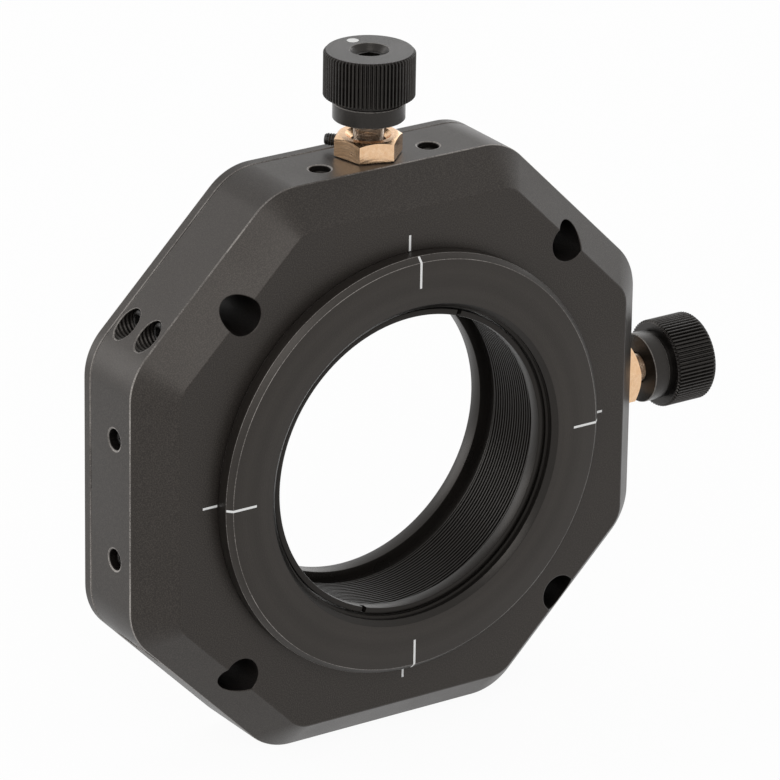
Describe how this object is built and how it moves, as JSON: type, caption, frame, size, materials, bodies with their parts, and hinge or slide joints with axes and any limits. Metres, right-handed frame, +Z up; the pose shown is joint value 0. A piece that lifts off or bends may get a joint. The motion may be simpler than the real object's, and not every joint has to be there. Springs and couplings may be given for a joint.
{
  "type": "cage-mounted two-axis lens translation mount",
  "caption": "Octagonal translation mount for a rod cage: fine screws at the top and side shift a threaded lens cell in two directions.",
  "frame": {"origin": "on the optical axis, in the plane of the housing's front face", "axes": "+Y along the optical axis from the front to the rear, +Z up to the top knob, +X to the side knob"},
  "size_m": [0.1103, 0.0223, 0.1107],
  "materials": {
    "black_anodised": "bead-blasted black anodised aluminium, satin",
    "slide_anodised": "machined black anodised aluminium, satin",
    "knob_anodised": "black anodised aluminium with a fine straight knurl",
    "bronze": "machined bearing bronze, polished",
    "bright_steel": "fine-turned stainless steel",
    "black_steel": "black oxide alloy steel, slightly oily",
    "spring_steel": "drawn spring wire"
  },
  "bodies": {
    "housing": {"housing": "black_anodised", "rear_cover": "black_anodised", "cover_screw_1": "black_steel", "cover_screw_2": "black_steel", "cover_screw_3": "black_steel", "cover_screw_4": "black_steel", "cover_screw_5": "black_steel", "cover_screw_6": "black_steel", "cover_screw_7": "black_steel", "cover_screw_8": "black_steel", "rod_clamp_screw_1": "black_steel", "rod_clamp_screw_2": "black_steel", "rod_clamp_screw_3": "black_steel", "rod_clamp_screw_4": "black_steel", "rod_clamp_screw_5": "black_steel", "rod_clamp_screw_6": "black_steel", "rod_clamp_screw_7": "black_steel", "rod_clamp_screw_8": "black_steel", "spring_plug_1": "black_steel", "spring_plug_2": "black_steel", "spring_plug_3": "black_steel", "spring_plug_4": "black_steel", "vertical_spring_1": "spring_steel", "vertical_spring_2": "spring_steel", "lateral_spring_1": "spring_steel", "lateral_spring_2": "spring_steel", "top_bushing": "bronze", "side_bushing": "bronze", "top_lock_screw": "black_steel", "side_lock_screw": "black_steel"},
    "vertical_stage": {"vertical_frame": "slide_anodised", "top_thrust_pad": "bright_steel", "vertical_plunger_1": "bright_steel", "vertical_plunger_2": "bright_steel"},
    "lens_stage": {"lateral_slide": "slide_anodised", "side_thrust_pad": "bright_steel", "lens_cell": "black_anodised", "cell_lock_ring": "slide_anodised"},
    "lens_retainer": {"retaining_ring": "black_anodised"},
    "top_thrust": {"top_thrust_ball": "bright_steel"},
    "top_adjuster": {"top_knob": "knob_anodised", "top_fine_screw": "bright_steel"},
    "side_thrust": {"side_thrust_ball": "bright_steel", "lateral_plunger_1": "bright_steel", "lateral_plunger_2": "bright_steel"},
    "side_adjuster": {"side_knob": "knob_anodised", "side_fine_screw": "bright_steel"}
  },
  "joints": [
    {"name": "vertical_travel", "type": "slide", "parent": "housing", "child": "vertical_stage", "axis": [0, 0, 1], "range_m": [-0.001, 0.001], "deforming": ["vertical_spring_1", "vertical_spring_2"]},
    {"name": "lateral_travel", "type": "slide", "parent": "vertical_stage", "child": "lens_stage", "axis": [1, 0, 0], "range_m": [-0.001, 0.001]},
    {"name": "retaining_ring_travel", "type": "slide", "parent": "lens_stage", "child": "lens_retainer", "axis": [0, 1, 0], "range_m": [-0.0015, 0.012]},
    {"name": "top_thrust_travel", "type": "slide", "parent": "housing", "child": "top_thrust", "axis": [0, 0, 1], "range_m": [-0.001, 0.001]},
    {"name": "top_knob_turn", "type": "hinge", "parent": "top_thrust", "child": "top_adjuster", "pos_m": [0, 0.0119, 0.0579], "axis": [0, 0, 1], "range_deg": [-1440, 1440]},
    {"name": "side_thrust_travel", "type": "slide", "parent": "housing", "child": "side_thrust", "axis": [1, 0, 0], "range_m": [-0.001, 0.001], "deforming": ["lateral_spring_1", "lateral_spring_2"]},
    {"name": "side_knob_turn", "type": "hinge", "parent": "side_thrust", "child": "side_adjuster", "pos_m": [0.0579, 0.0119, 0], "axis": [1, 0, 0], "range_deg": [-1440, 1440]}
  ],
  "couplings": [
    {"joint": "top_knob_turn", "follows": "vertical_travel", "rad_per_m": 25133},
    {"joint": "top_thrust_travel", "follows": "vertical_travel", "ratio": 1},
    {"joint": "side_knob_turn", "follows": "lateral_travel", "rad_per_m": 25133},
    {"joint": "side_thrust_travel", "follows": "lateral_travel", "ratio": 1}
  ]
}
